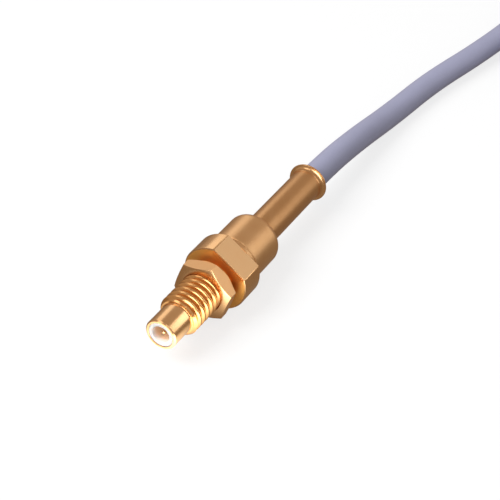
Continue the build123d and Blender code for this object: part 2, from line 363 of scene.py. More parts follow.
def insulator_white(name, gold_glow=0.0):
    """Machined white insulator with faint rings. gold_glow is how much painted tan, a painted reflection of
    the gold, there is deep in.
    """
    finish = Finish(bpy.data.materials.new(name))
    cloud = finish.noise(0.8)
    depth = finish.node(
        "ShaderNodeMapRange",
        {"interpolation_type": "SMOOTHSTEP"},
        {"Value": finish.axis(finish.place(), "Y"), "From Min": GOLD_GLOW_START, "From Max": GOLD_GLOW_END},
    )
    white = finish.tint(cloud, (0.90, 0.85, 0.82), (0.95, 0.92, 0.90))
    along = finish.axis(finish.place(1 / 0.12), "Y")
    ring = finish.node("ShaderNodeTexNoise", {"noise_dimensions": "1D"}, {"W": along, "Scale": 1.0})
    return finish.surface(
        Base_Color=finish.tint(depth * gold_glow, white, (0.92, 0.56, 0.26)),
        Roughness=0.36 + 0.1 * cloud,
        Subsurface_Weight=0.3,
        Subsurface_Radius=(1.0, 0.7, 0.5),
        Subsurface_Scale=0.3 * MM,
        Normal=finish.bump(ring * 0.002),
    )


def cable_plastic(name):
    """Lavender-grey jacket with faint dull patches."""
    finish = Finish(bpy.data.materials.new(name))
    cloud = finish.noise(3.0, detail=3.0)
    speck = finish.noise(0.35, detail=3.0)
    return finish.surface(
        Base_Color=finish.tint(0.7 * cloud + 0.3 * speck, (0.335, 0.340, 0.480), (0.400, 0.405, 0.550)),
        Roughness=0.40 + 0.14 * cloud,
        Specular_IOR_Level=0.4,
        Normal=finish.bump(cloud * 0.012 + speck * 0.004),
    )


def silver_wire(name, deep, pale):
    """Silver plating that has dulled a little."""
    finish = Finish(bpy.data.materials.new(name))
    cloud = finish.noise(0.3, detail=3.0)
    return finish.surface(
        Base_Color=finish.tint(cloud, deep, pale),
        Metallic=1.0,
        Roughness=0.26 + 0.16 * cloud,
        Normal=finish.bump(cloud * 0.002),
    )


def nylon(name):
    """Natural nylon with a soft gloss."""
    finish = Finish(bpy.data.materials.new(name))
    cloud = finish.noise(0.7)
    return finish.surface(
        Base_Color=finish.tint(cloud, (0.76, 0.75, 0.69), (0.86, 0.85, 0.80)),
        Roughness=0.34 + 0.12 * cloud,
        Subsurface_Weight=0.25,
        Subsurface_Radius=(1.0, 0.9, 0.7),
        Subsurface_Scale=0.6 * MM,
        Normal=finish.bump(cloud * 0.008),
    )


INSULATOR_WHITE = insulator_white("insulator_white")
NOSE_WHITE = insulator_white("nose_white", gold_glow=0.75)
JACKET_GREY = cable_plastic("jacket_grey")
BRAID_SILVER = silver_wire("braid_silver", (0.60, 0.59, 0.57), (0.80, 0.79, 0.76))
SOLID_WIRE = silver_wire("solid_wire", (0.74, 0.72, 0.69), (0.86, 0.85, 0.82))
NYLON_WHITE = nylon("nylon_white")
cable_jacket.data.materials.append(JACKET_GREY)
print("materials:", len(bpy.data.materials))

# %% [markdown]
# ## Turning on a lathe
#
# Nearly every piece here was turned from bar, so one helper does what the lathe does: it takes an outline
# of radius and distance along the axis, and spins it round Y. An outline that closes on itself makes a
# ring with a bore. Corners are kept crisp by marking edges sharp where two faces meet at a clear angle,
# and everything else is shaded smooth. A modifier weights the normals by area, so that a small bevel
# doesn't bend the shading of the large face beside it.

# %% The lathe helper
AROUND = 96
SHARP_ANGLE = math.radians(34)
AXIS = Vector((0, 1, 0))
UPRIGHT = Matrix.Rotation(math.radians(90), 4, "X")
MERGE = 0.0001


def arc(centre, radius, start, end, steps=6):
    """Outline points on an arc. Angles are in degrees from straight out, and grow towards the cable."""
    angles = [math.radians(start + (end - start) * i / steps) for i in range(steps + 1)]
    return [(centre[0] + radius * math.cos(a), centre[1] + radius * math.sin(a)) for a in angles]


def turn(bm, outline, closed=False, around=AROUND):
    """Spins an outline of (radius, distance along the axis) round Y and adds it to the mesh."""
    points = [bm.verts.new((radius, along, 0)) for radius, along in outline]
    pairs = list(zip(points, points[1:] + points[:1] if closed else points[1:]))
    edges = [bm.edges.new(pair) for pair in pairs]
    bmesh.ops.spin(
        bm, geom=points + edges, axis=AXIS, cent=(0, 0, 0), angle=2 * math.pi, steps=around, use_merge=True
    )
    bmesh.ops.remove_doubles(bm, verts=bm.verts[:], dist=MERGE)


def rims(bm, along):
    """Open edges in the plane square to the axis at this distance along it."""
    return [
        e for e in bm.edges if e.is_boundary and all(abs(v.co.y - along) < MERGE for v in e.verts)
    ]


def close_ring(bm, along):
    """Fills the flat ring between the two open rims in one plane. Their corners needn't match."""
    bmesh.ops.triangle_fill(bm, use_beauty=True, edges=rims(bm, along), normal=AXIS)


def radius_of(vert):
    return math.hypot(vert.co.x, vert.co.z)


def set_radius(vert, radius):
    scale = radius / radius_of(vert)
    vert.co.x *= scale
    vert.co.z *= scale


def finish_piece(bm, name, materials, body, node, pattern=None):
    """Turns a mesh in millimetres into a piece in metres that stands for a node and rides on its body."""
    bmesh.ops.recalc_face_normals(bm, faces=bm.faces[:])
    for face in bm.faces:
        face.smooth = True
        if pattern:
            face.material_index = pattern(face)
    for edge in bm.edges:
        edge.smooth = edge.is_manifold and edge.calc_face_angle() < SHARP_ANGLE
    bmesh.ops.scale(bm, vec=(MM, MM, MM), verts=bm.verts[:])
    open_edges = sum(1 for e in bm.edges if not e.is_manifold)
    data = bpy.data.meshes.new(name)
    bm.to_mesh(data)
    bm.free()
    for material in materials:
        data.materials.append(material)
    piece = bpy.data.objects.new(name, data)
    bpy.context.scene.collection.objects.link(piece)
    flat = piece.modifiers.new("flat_faces", "WEIGHTED_NORMAL")
    flat.keep_sharp = True
    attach(piece, body)
    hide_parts(node)
    print(f"{name}: {len(data.polygons)} faces, {open_edges} open edges")
    return piece


def combined(first, second, operation):
    """The two meshes joined, cut or intersected, as one new mesh."""
    pair = []
    for bm in (first, second):
        bmesh.ops.recalc_face_normals(bm, faces=bm.faces[:])
        data = bpy.data.meshes.new("stock")
        bm.to_mesh(data)
        bm.free()
        pair.append(bpy.data.objects.new("stock", data))
        bpy.context.scene.collection.objects.link(pair[-1])
    cut = pair[0].modifiers.new("cut", "BOOLEAN")
    cut.operation = operation
    cut.solver = "EXACT"
    cut.object = pair[1]
    made = bmesh.new()
    made.from_object(pair[0], bpy.context.evaluated_depsgraph_get())
    for stock in pair:
        data = stock.data
        bpy.data.objects.remove(stock)
        bpy.data.meshes.remove(data)
    return made


print("lathe ready, with", AROUND, "steps round")

# %% [markdown]
# ## The thread
#
# A screw thread is one tooth's outline swept along a helix. Spin can do it: as well as the turn, it takes
# a small step along the axis for each copy. One whole turn of the full outline then moves it by exactly
# one pitch, so its last copy meets the first one, and merging doubles closes the seam. The two ragged
# ends are cut off square. The first threads are trimmed by a cone, as the turner's chamfer does.

# %% Make a thread
PITCH = 25.4 / 32
CREST_R = 2.413
ROOT_R = 1.95
THREAD_EASE = 0.025
ROOT_FLAT = 0.05
EASE_RISE = THREAD_EASE * math.tan(math.radians(30))
FLANK_STEPS = 3


def tooth(shift=0.0, least=0.0):
    """One pitch of a 60 degree thread with eased corners, as (distance, radius), from root to root."""
    rise = CREST_R - ROOT_R - 2 * EASE_RISE
    flank = rise * math.tan(math.radians(30))
    crest_flat = PITCH - 4 * THREAD_EASE - ROOT_FLAT - 2 * flank
    marks = [(0, ROOT_R + EASE_RISE), (THREAD_EASE, ROOT_R), (THREAD_EASE + ROOT_FLAT, ROOT_R)]
    start = 2 * THREAD_EASE + ROOT_FLAT
    for i in range(FLANK_STEPS + 1):
        marks.append((start + flank * i / FLANK_STEPS, ROOT_R + EASE_RISE + rise * i / FLANK_STEPS))
    start += flank + THREAD_EASE
    marks += [(start, CREST_R), (start + crest_flat, CREST_R)]
    start += crest_flat + THREAD_EASE
    for i in range(FLANK_STEPS):
        marks.append((start + flank * i / FLANK_STEPS, CREST_R - EASE_RISE - rise * i / FLANK_STEPS))
    return [(along, max(radius + shift, least)) for along, radius in marks]


def cut_thread(bm, front, back, shift=0.0, least=0.0):
    """Adds a helical thread surface between two planes. shift grows its radius, as a nut's thread needs."""
    first = math.floor(front / PITCH) - 1
    last = math.ceil(back / PITCH) + 2
    outline = [
        (k * PITCH + along, radius) for k in range(first, last) for along, radius in tooth(shift, least)
    ]
    thread = bmesh.new()
    points = [thread.verts.new((radius, along, 0)) for along, radius in outline]
    edges = [thread.edges.new(pair) for pair in zip(points, points[1:])]
    step = Vector((0, PITCH / AROUND, 0))
    bmesh.ops.spin(
        thread, geom=points + edges, axis=AXIS, cent=(0, 0, 0), dvec=step, angle=2 * math.pi, steps=AROUND
    )
    bmesh.ops.remove_doubles(thread, verts=thread.verts[:], dist=MERGE)
    for place, outwards in ((front, -AXIS), (back, AXIS)):
        bmesh.ops.bisect_plane(
            thread,
            geom=thread.verts[:] + thread.edges[:] + thread.faces[:],
            plane_co=(0, place, 0),
            plane_no=outwards,
            clear_outer=True,
        )
    keep = bpy.data.meshes.new("thread")
    thread.to_mesh(keep)
    thread.free()
    before = set(bm.verts)
    bm.from_mesh(keep)
    bpy.data.meshes.remove(keep)
    return [v for v in bm.verts if v not in before]


print("pitch, mm:", round(PITCH, 4), "and points in one tooth:", len(tooth()))

# %% [markdown]
# ## Nose, thread and flange
#
# The front half is one turned piece. Its bores, nose and collar are turned from one outline, and the
# thread lies between the nose's shoulder and a narrow neck. The flange starts as a disc in the panel
# plane: two cuts across it take away the flats, and the rest is pulled back to the flange's length. The
# collar behind it is a little larger than the flats' distance, so it stands proud of them by a hair, as
# in the photograph. Flat rings then fill the gaps between rims that lie in the same plane. Bridging would
# pair their corners one by one, and where the corners don't match that can lay faces across the bore, so
# the rings are filled with triangles.

# %% Set the front half's sizes
FIT_GAP = 0.02
NOSE_FRONT = -10.92
NOSE_R = 1.854
NOSE_CHAMFER = 0.15
SOCKET_R = 1.5
EDGE_EASE = 0.03
THREAD_FRONT = -7.68
LEAD_DEPTH = 0.32
SHOULDER_FILLET = 0.07
NECK_LENGTH = 0.45
NECK_R = 1.9
FLANGE_R = 3.96
FLANGE_LENGTH = 3.12
ACROSS_FLATS = 6.35
FLAT_TURN = math.radians(36.0)
FLANGE_FRONT_CHAMFER = 0.16
FLANGE_REAR_CHAMFER = 0.12
SHELL_R = 3.25
COLLAR_END = 3.7
JOINT_EASE = 0.09
CORNER_EASE = 0.04
WEB_BORE_R = 1.1
INSULATOR_SEAT = -4.0
COUNTERBORE_FLOOR = 0.8
COUNTERBORE_R = 2.4
print("nose to collar, mm:", round(COLLAR_END - NOSE_FRONT, 2))

# %% Shape the flange
FLAT_NORMAL = Vector((math.sin(FLAT_TURN), 0, math.cos(FLAT_TURN)))
CORNER_ANGLE = math.radians(60)


def outer_rim(bm, along, reach=ACROSS_FLATS):
    """Edges round the outside of the flange in one plane, as far out on the flats' sides as asked."""
    return [
        e for e in bm.edges
        if all(abs(v.co.y - along) < MERGE for v in e.verts)
        and e.calc_face_angle(0) > CORNER_ANGLE
        and abs((e.verts[0].co + e.verts[1].co).dot(FLAT_NORMAL)) < 2 * reach
    ]


def long_edges(bm):
    """The four edges along the axis where a flat meets the round."""
    return [
        e for e in bm.edges
        if abs(e.verts[0].co.y - e.verts[1].co.y) > FLANGE_LENGTH / 2 and e.calc_face_angle(0) > SHARP_ANGLE
    ]


def break_edges(bm, edges, size, segments=2):
    bmesh.ops.bevel(
        bm, geom=edges, offset=size, segments=segments, profile=0.5, affect="EDGES", material=-1
    )


def add_flange(bm):
    """Round flange with two flats, open where the neck and the collar join it."""
    bmesh.ops.create_circle(bm, cap_ends=True, radius=FLANGE_R, segments=AROUND, matrix=UPRIGHT)
    for side in (1, -1):
        bmesh.ops.bisect_plane(
            bm,
            geom=bm.verts[:] + bm.edges[:] + bm.faces[:],
            plane_co=FLAT_NORMAL * side * ACROSS_FLATS / 2,
            plane_no=FLAT_NORMAL * side,
            clear_outer=True,
        )
    made = bmesh.ops.extrude_face_region(bm, geom=bm.faces[:], use_keep_orig=True)["geom"]
    verts = [g for g in made if isinstance(g, bmesh.types.BMVert)]
    bmesh.ops.translate(bm, verts=verts, vec=AXIS * FLANGE_LENGTH)
    bmesh.ops.recalc_face_normals(bm, faces=bm.faces[:])
    break_edges(bm, long_edges(bm), CORNER_EASE)
    break_edges(bm, outer_rim(bm, 0), FLANGE_FRONT_CHAMFER)
    break_edges(bm, outer_rim(bm, FLANGE_LENGTH, ACROSS_FLATS / 2 - CORNER_EASE), FLANGE_REAR_CHAMFER)
    ends = sorted(bm.faces, key=lambda f: f.calc_area())[-2:]
    bmesh.ops.delete(bm, geom=ends, context="FACES_ONLY")


print("flange, mm: round", 2 * FLANGE_R, "and across the flats", ACROSS_FLATS)

# %% Build the front half
FLAT_LEAST_AREA = 5
PARALLEL = 0.9999


def build_body():
    bm = bmesh.new()
    add_flange(bm)
    turn(bm, [(NECK_R, -NECK_LENGTH), (NECK_R, 0)])
    close_ring(bm, 0)
    nose = arc((NOSE_R + SHOULDER_FILLET, THREAD_FRONT - SHOULDER_FILLET), SHOULDER_FILLET, 90, 180)
    turn(bm, nose + [
        (NOSE_R, NOSE_FRONT + NOSE_CHAMFER),
        (NOSE_R - NOSE_CHAMFER, NOSE_FRONT),
        (SOCKET_R + EDGE_EASE, NOSE_FRONT),
        (SOCKET_R, NOSE_FRONT + EDGE_EASE),
        (SOCKET_R, INSULATOR_SEAT),
        (WEB_BORE_R, INSULATOR_SEAT),
        (WEB_BORE_R, COUNTERBORE_FLOOR),
        (COUNTERBORE_R, COUNTERBORE_FLOOR),
        (COUNTERBORE_R, COLLAR_END),
        (SHELL_R - JOINT_EASE, COLLAR_END),
        (SHELL_R, COLLAR_END - JOINT_EASE),
        (SHELL_R, FLANGE_LENGTH + EDGE_EASE),
        (SHELL_R - EDGE_EASE, FLANGE_LENGTH),
    ])
    close_ring(bm, FLANGE_LENGTH)
    for vert in cut_thread(bm, THREAD_FRONT, -NECK_LENGTH):
        lead = CREST_R - LEAD_DEPTH + vert.co.y - THREAD_FRONT
        if radius_of(vert) > lead:
            set_radius(vert, lead)
    close_ring(bm, THREAD_FRONT)
    close_ring(bm, -NECK_LENGTH)
    return bm


def body_finish(face):
    """0 where it was turned, 1 on the two milled flats, painted paler as highlight, 2 on the thread and 3
    on the seat in front, both deepened orange as painted bounce light.
    """
    middle = face.calc_center_median()
    if THREAD_FRONT < middle.y < -NECK_LENGTH:
        return 2 if math.hypot(middle.x, middle.z) > NOSE_R + SHOULDER_FILLET else 0
    if all(abs(v.co.y) < MERGE for v in face.verts):
        return 3
    return int(face.calc_area() > FLAT_LEAST_AREA and abs(face.normal.dot(FLAT_NORMAL)) > PARALLEL)


body_piece = finish_piece(
    build_body(),
    "nose_and_flange",
    [TURNED_GOLD, MILLED_LIT_GOLD, THREAD_BOUNCE_GOLD, SEAT_BOUNCE_GOLD],
    "connector", "body", body_finish,
)

# %% [markdown]
# ## The nut
#
# A hexagon nut is turned before it is milled, so it is made in that order: a disc with a 30 degree chamfer
# on both faces, then six cuts that leave the curved edges where each flat meets the chamfers. The bore has
# the mating thread with a little play, in step with the screw's thread, so that they mesh at every turn,
# and a countersink opens it at both ends.

# %% Build the nut
NUT_HALF = 6.35 / 2
NUT_FRONT = -2.88
NUT_THICKNESS = 1.6
NUT_BACK = NUT_FRONT + NUT_THICKNESS
NUT_TURN = math.radians(20.5)
NUT_RIM_INSET = 0.04
NUT_RIM = NUT_HALF - NUT_RIM_INSET
STOCK_EXTRA = 0.05
NUT_STOCK_R = NUT_HALF / math.cos(math.radians(30)) + STOCK_EXTRA
NUT_CHAMFER = (NUT_STOCK_R - NUT_RIM) * math.tan(math.radians(30))
NUT_MOUTH_R = 2.46
THREAD_PLAY = 0.04
NUT_LEAST_R = 2.09
LEVEL = 0.01


def build_nut():
    bm = bmesh.new()
    turn(bm, [
        (NUT_MOUTH_R + EDGE_EASE, NUT_FRONT),
        (NUT_RIM, NUT_FRONT),
        (NUT_STOCK_R, NUT_FRONT + NUT_CHAMFER),
        (NUT_STOCK_R, NUT_BACK - NUT_CHAMFER),
        (NUT_RIM, NUT_BACK),
        (NUT_MOUTH_R + EDGE_EASE, NUT_BACK),
    ])
    for i in range(6):
        side = NUT_TURN + math.radians(30 + 60 * i)
        normal = Vector((math.sin(side), 0, math.cos(side)))
        cut = bmesh.ops.bisect_plane(
            bm,
            geom=bm.verts[:] + bm.edges[:] + bm.faces[:],
            plane_co=normal * NUT_HALF,
            plane_no=normal,
            clear_outer=True,
        )["geom_cut"]
        bmesh.ops.contextual_create(bm, geom=[g for g in cut if isinstance(g, bmesh.types.BMEdge)])
    for vert in cut_thread(bm, NUT_FRONT, NUT_BACK, THREAD_PLAY, NUT_LEAST_R):
        depth = min(vert.co.y - NUT_FRONT, NUT_BACK - vert.co.y)
        if radius_of(vert) < NUT_MOUTH_R - depth:
            set_radius(vert, NUT_MOUTH_R - depth)
    close_ring(bm, NUT_FRONT)
    close_ring(bm, NUT_BACK)
    return bm


def is_turned(face):
    """1 on the nut's faces, chamfers and thread, which were turned, and 0 on its six flats."""
    return int(abs(face.normal.y) > LEVEL)


nut_piece = finish_piece(
    build_nut(), "hexagon_nut", [TUMBLED_GOLD, TURNED_GOLD], "nut", "hex_nut", is_turned
)

# %% [markdown]
# ## The lock washer
#
# An internal tooth washer is a thin ring with teeth that reach in to the thread, each twisted a little so
# that its corner bites. The ring is turned, one tooth is a cube that is scaled, twisted and moved out, and
# copies of it go round. A union joins them into one solid.

# %% Build the lock washer
WASHER_R = 2.95
WASHER_RING = 0.25
WASHER_FRONT = NUT_BACK
WASHER_THICKNESS = 0.4
WASHER_EASE = 0.06
WASHER_TEETH = 10
TOOTH_TIP_R = 2.47
TOOTH_SIZE = (0.4, 0.24, 0.58)
TOOTH_TWIST = math.radians(13)


def build_washer():
    ring = bmesh.new()
    back = WASHER_FRONT + WASHER_THICKNESS
    inner = WASHER_R - WASHER_RING
    turn(ring, [
        (inner, WASHER_FRONT),
        (WASHER_R - WASHER_EASE, WASHER_FRONT),
        (WASHER_R, WASHER_FRONT + WASHER_EASE),
        (WASHER_R, back - WASHER_EASE),
        (WASHER_R - WASHER_EASE, back),
        (inner, back),
    ], closed=True)
    teeth = bmesh.new()
    middle = Vector((TOOTH_TIP_R + TOOTH_SIZE[0] / 2, WASHER_FRONT + WASHER_THICKNESS / 2, 0))
    for i in range(WASHER_TEETH):
        place = Matrix.Rotation(2 * math.pi * i / WASHER_TEETH, 4, AXIS) @ Matrix.Translation(middle)
        shape = Matrix.Rotation(TOOTH_TWIST, 4, "X") @ Matrix.Diagonal((*TOOTH_SIZE, 1))
        bmesh.ops.create_cube(teeth, size=1, matrix=place @ shape)
    return combined(ring, teeth, "UNION")


washer_piece = finish_piece(
    build_washer(), "tooth_washer", [WASHER_BOUNCE_GOLD], "washer", "lock_washer"
)

# %% [markdown]
# ## Shell and stem
#
# Behind the flange sits the rounded shell with its hollow crimp stem, one closed outline on the lathe. The
# stem's straight knurl is made by pressing in every fourth line of points.

# %% Build the rear half
SHELL_END = 9.25
SHELL_ROUNDING = 1.0
PILOT_R = COUNTERBORE_R - FIT_GAP
PILOT_FRONT = 2.2
CHAMBER_R = 1.5
CHAMBER_END = 7.5
STEM_R = 1.15
STEM_BORE_R = 0.8
STEM_END = SHELL_END + 5.3
KNURL_START = SHELL_END + 0.5
KNURL_DEPTH = 0.07
KNURL_LINES = 4


def build_sleeve():
    bm = bmesh.new()
    turn(bm, [
        (STEM_BORE_R, STEM_END),
        (STEM_BORE_R, CHAMBER_END),
        (CHAMBER_R, CHAMBER_END),
        (CHAMBER_R, PILOT_FRONT),
        (PILOT_R, PILOT_FRONT),
        (PILOT_R, COLLAR_END),
        (SHELL_R - JOINT_EASE, COLLAR_END),
        (SHELL_R, COLLAR_END + JOINT_EASE),
        *arc((SHELL_R - SHELL_ROUNDING, SHELL_END - SHELL_ROUNDING), SHELL_ROUNDING, 0, 90, 12),
        (STEM_R, SHELL_END),
        (STEM_R, KNURL_START),
        (STEM_R, KNURL_START + EDGE_EASE),
        (STEM_R, STEM_END),
    ], closed=True)
    for vert in bm.verts:
        line = round(math.atan2(vert.co.x, vert.co.z) / (2 * math.pi) * AROUND)
        on_knurl = vert.co.y > KNURL_START + MERGE and radius_of(vert) > STEM_R - MERGE
        if line % KNURL_LINES == 0 and on_knurl:
            set_radius(vert, STEM_R - KNURL_DEPTH)
    return bm


sleeve_piece = finish_piece(
    build_sleeve(), "rounded_shell", [SATIN_GOLD], "connector", "rear_sleeve"
)

# %% [markdown]
# ## The crimp ferrule
#
# The ferrule is a thin tube that was squeezed over the braid and the stem. Its mouth flares out and ends
# in a rounded lip, so that the sharp edge of the tube can't cut the jacket. The flare is one arc that
# leaves the tube along its own line, inside and outside, and the lip is most of a half circle. The tube's
# gold is painted darker, as shade that keeps its highlights dim, and the lip has the brighter turned gold.

# %% Build the ferrule
FERRULE_END = 21.84
FERRULE_R = 1.93
FERRULE_BORE_R = 1.675
LIP_R = 2.47
LIP_LENGTH = 0.75
LIP_EDGE = 0.11


def flare(bore, rim, front, back, steps=8):
    """Outline of a mouth that leaves the tube along its axis and swings outwards on one arc."""
    rise = rim - bore
    length = back - front
    radius = (length**2 + rise**2) / (2 * rise)
    sweep = math.degrees(math.asin(length / radius))
    return arc((bore + radius, front), radius, 180, 180 - sweep, steps)


def build_ferrule():
    bm = bmesh.new()
    front = FERRULE_END - LIP_LENGTH
    outer = flare(FERRULE_R, LIP_R - LIP_EDGE / 2, front, FERRULE_END - 2 * LIP_EDGE)
    inner = flare(FERRULE_BORE_R, LIP_R - 2 * LIP_EDGE, front, FERRULE_END - LIP_EDGE / 3)
    lip = arc((LIP_R - LIP_EDGE, FERRULE_END - LIP_EDGE), LIP_EDGE, -60, 120, 8)
    turn(bm, [
        (FERRULE_BORE_R, SHELL_END),
        (FERRULE_R - EDGE_EASE, SHELL_END),
        (FERRULE_R, SHELL_END + EDGE_EASE),
        *outer,
        *lip,
        *reversed(inner),
    ], closed=True)
    return bm


def is_lip(face):
    """1 on the lip in turned gold and 0 on the crimped tube, whose gold is painted darker as shade."""
    return int(face.calc_center_median().y > FERRULE_END - LIP_LENGTH / 2)


ferrule_piece = finish_piece(
    build_ferrule(), "ferrule_tube", [TUBE_SHADE_GOLD, TURNED_GOLD],
    "connector", "crimp_ferrule", is_lip,
)

# %% [markdown]
# ## Insulator and contact
#
# Looking into the nose, the white insulator's ring surrounds the plug's bore, and the end of the contact
# pin shows in it. Both are turned. The contact's outline starts and ends on the axis, so that the spin
# closes it, and a small hole through its solder cup lets solder be seen.

# %% Build the insulator and the contact
INSULATOR_R = SOCKET_R - FIT_GAP
INSULATOR_INSET = 0.07
INSULATOR_FRONT = NOSE_FRONT + INSULATOR_INSET
PLUG_BORE_R = 1.04
PLUG_BORE_DEPTH = 3.0
PLUG_BORE_FLOOR = INSULATOR_FRONT + PLUG_BORE_DEPTH
MOUTH_EASE = 0.075
CONTACT_R = 0.45
PIN_R = 0.255
PIN_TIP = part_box("contact_pin")[0].y / MM
COLLAR_R = 0.65
COLLAR_LENGTH = 0.7
BARREL_START = 1.1
BARREL_END = 5.5
CUP_R = 0.3
CUP_DEPTH = 3.0
CUP_FLOOR = BARREL_END - CUP_DEPTH
CUP_HOLE_R = 0.16
CUP_HOLE_INSET = 0.9
FINE_STEPS = 48
DRILL_STEPS = 24


def build_insulator():
    bm = bmesh.new()
    turn(bm, [
        (CONTACT_R + FIT_GAP, PLUG_BORE_FLOOR),
        (PLUG_BORE_R - EDGE_EASE, PLUG_BORE_FLOOR),
        (PLUG_BORE_R, PLUG_BORE_FLOOR - EDGE_EASE),
        (PLUG_BORE_R, INSULATOR_FRONT + MOUTH_EASE),
        (PLUG_BORE_R + MOUTH_EASE / 3, INSULATOR_FRONT + MOUTH_EASE / 3),
        (PLUG_BORE_R + MOUTH_EASE, INSULATOR_FRONT),
        (INSULATOR_R - EDGE_EASE, INSULATOR_FRONT),
        (INSULATOR_R, INSULATOR_FRONT + EDGE_EASE),
        (INSULATOR_R, INSULATOR_SEAT),
        (CONTACT_R + FIT_GAP, INSULATOR_SEAT),
    ], closed=True)
    return bm


def build_contact():
    bm = bmesh.new()
    turn(bm, [
        *arc((0, PIN_TIP + PIN_R), PIN_R, -90, 0),
        (PIN_R, PLUG_BORE_FLOOR),
        (CONTACT_R, PLUG_BORE_FLOOR),
        (CONTACT_R, INSULATOR_SEAT),
        (COLLAR_R, INSULATOR_SEAT),
        (COLLAR_R, INSULATOR_SEAT + COLLAR_LENGTH),
        (CONTACT_R, INSULATOR_SEAT + COLLAR_LENGTH),
        (CONTACT_R, BARREL_START),
        (COLLAR_R, BARREL_START),
        (COLLAR_R, BARREL_END),
        (CUP_R, BARREL_END),
        (CUP_R, CUP_FLOOR),
        (0, CUP_FLOOR),
    ], around=FINE_STEPS)
    drill = bmesh.new()
    bmesh.ops.create_cone(
        drill,
        cap_ends=True,
        segments=DRILL_STEPS,
        radius1=CUP_HOLE_R,
        radius2=CUP_HOLE_R,
        depth=COLLAR_R,
        matrix=Matrix.Translation((0, BARREL_END - CUP_HOLE_INSET, COLLAR_R)),
    )
    return combined(bm, drill, "DIFFERENCE")


insulator_piece = finish_piece(
    build_insulator(), "white_insulator", [NOSE_WHITE], "connector", "front_insulator"
)
contact_piece = finish_piece(
    build_contact(), "centre_contact", [CONTACT_GOLD], "connector", "contact_pin"
)

# %% [markdown]
# ## The cable's stripped end
#
# The far end is cut back in steps: braid, then dielectric, then bare wire. The braid is a real weave. Each
# wire is a small circle spun along a helix, as the thread was, and a wave in its radius then takes it over
# and under the wires that go round the other way. They are made on the Y axis and turned into line with
# the cable's end.

# %% Weave the end of the braid
DIELECTRIC_R = 0.76
WIRE_R = 0.255
BRAID_LENGTH = 1.8
BARE_DIELECTRIC = 1.7
BARE_WIRE = 2.0
CARRIERS = 10
WIRES_PER_CARRIER = 3
STRAND_R = 0.045
WEAVE_HEIGHT = 0.055
BRAID_RISE = 0.155
BRAID_MID_R = DIELECTRIC_R + BRAID_RISE
BRAID_TURN = math.radians(115)
STRAND_SPACING = 2.3 * STRAND_R
STRAND_STEPS = 14
CARRIER_ANGLE = 2 * math.pi / CARRIERS
END_PLACE = Matrix.Translation(COIL_END) @ Matrix.Rotation(math.pi, 4, "Z")


def lay_strand(bm, start):
    """Adds a small disc at the start of a strand and returns it as a face."""
    disc = bmesh.ops.create_circle(
        bm,
        cap_ends=True,
        radius=STRAND_R,
        segments=6,
        matrix=Matrix.Rotation(start, 4, AXIS) @ Matrix.Translation((0, 0, BRAID_MID_R)) @ UPRIGHT,
    )["verts"]
    return disc[0].link_faces[0]


def weave(verts, way, carrier):
    """Takes a strand over and under those that go round the other way."""
    for vert in verts:
        turned = math.atan2(vert.co.x, vert.co.z) + way * vert.co.y / BRAID_LENGTH * BRAID_TURN
        wave = way * math.cos(math.pi * (turned / CARRIER_ANGLE + carrier))
        set_radius(vert, radius_of(vert) + WEAVE_HEIGHT * wave)


def build_end_braid():
    bm = bmesh.new()
    for way in (1, -1):
        for carrier in range(CARRIERS):
            for wire in range(WIRES_PER_CARRIER):
                across = (wire - (WIRES_PER_CARRIER - 1) / 2) * STRAND_SPACING / BRAID_MID_R
                before = set(bm.verts)
                face = lay_strand(bm, carrier * CARRIER_ANGLE + across)
                bmesh.ops.spin(
                    bm,
                    geom=[*face.verts, *face.edges, face],
                    axis=AXIS,
                    cent=(0, 0, 0),
                    dvec=(0, BRAID_LENGTH / STRAND_STEPS, 0),
                    angle=way * BRAID_TURN,
                    steps=STRAND_STEPS,
                )
                weave(set(bm.verts) - before, way, carrier)
    bmesh.ops.transform(bm, matrix=END_PLACE, verts=bm.verts[:])
    return bm


end_braid_piece = finish_piece(
    build_end_braid(), "braid_end", [BRAID_SILVER], "connector", "end_braid"
)

# %% Turn the dielectric and the wire
WIRE_GAP = 0.004
WIRE_STEPS = 32


def build_end_layer(radius, bore, length):
    """A turned layer of the stripped end, with a bore if one is given."""
    bm = bmesh.new()
    outside = [(radius, 0), (radius, length - EDGE_EASE), (radius - EDGE_EASE, length)]
    if bore:
        turn(bm, [*outside, (bore, length), (bore, 0)], closed=True, around=FINE_STEPS)
    else:
        turn(bm, [(0, 0), *outside, (0, length)], around=WIRE_STEPS)
    bmesh.ops.transform(bm, matrix=END_PLACE, verts=bm.verts[:])
    return bm


end_dielectric_piece = finish_piece(
    build_end_layer(DIELECTRIC_R, WIRE_R, BRAID_LENGTH + BARE_DIELECTRIC),
    "dielectric_end", [INSULATOR_WHITE], "connector", "end_dielectric",
)
end_wire_piece = finish_piece(
    build_end_layer(WIRE_R - WIRE_GAP, 0, BRAID_LENGTH + BARE_DIELECTRIC + BARE_WIRE),
    "wire_end", [SOLID_WIRE], "connector", "end_conductor",
)

# %% [markdown]
# ## The tie round the coil
#
# A nylon tie holds the turns: a flat strap pulled tight round them, a small square head, and the cut tail.
# The strap starts as one flat face whose corners are rounded, and its outline is pulled across and given
# a thickness. Low ribs across its top are the ratchet that the head's pawl catches. The tie's underside
# rests on the floor, so it stays plain.

# %% Build the tie
TIE_WIDTH = 2.4
TIE_Y = 88.0
TIE_PLAY = 0.12
TIE_HEAD = (1.5, 2.8, 3.2)
TIE_TAIL = 1.6
RIB_SPACING = 0.36
RIB_SHARE = 0.8
RIB_SIZE = (0.16, 1.5, 0.12)
RIB_EASE = 0.03
STRAP_CORNER = 0.4
HEAD_EASE = 0.25
TAIL_EASE = 0.06
TIE_MIDDLE = Vector((COIL_START[0] + COIL_PITCH / 2, TIE_Y, COIL_Z))


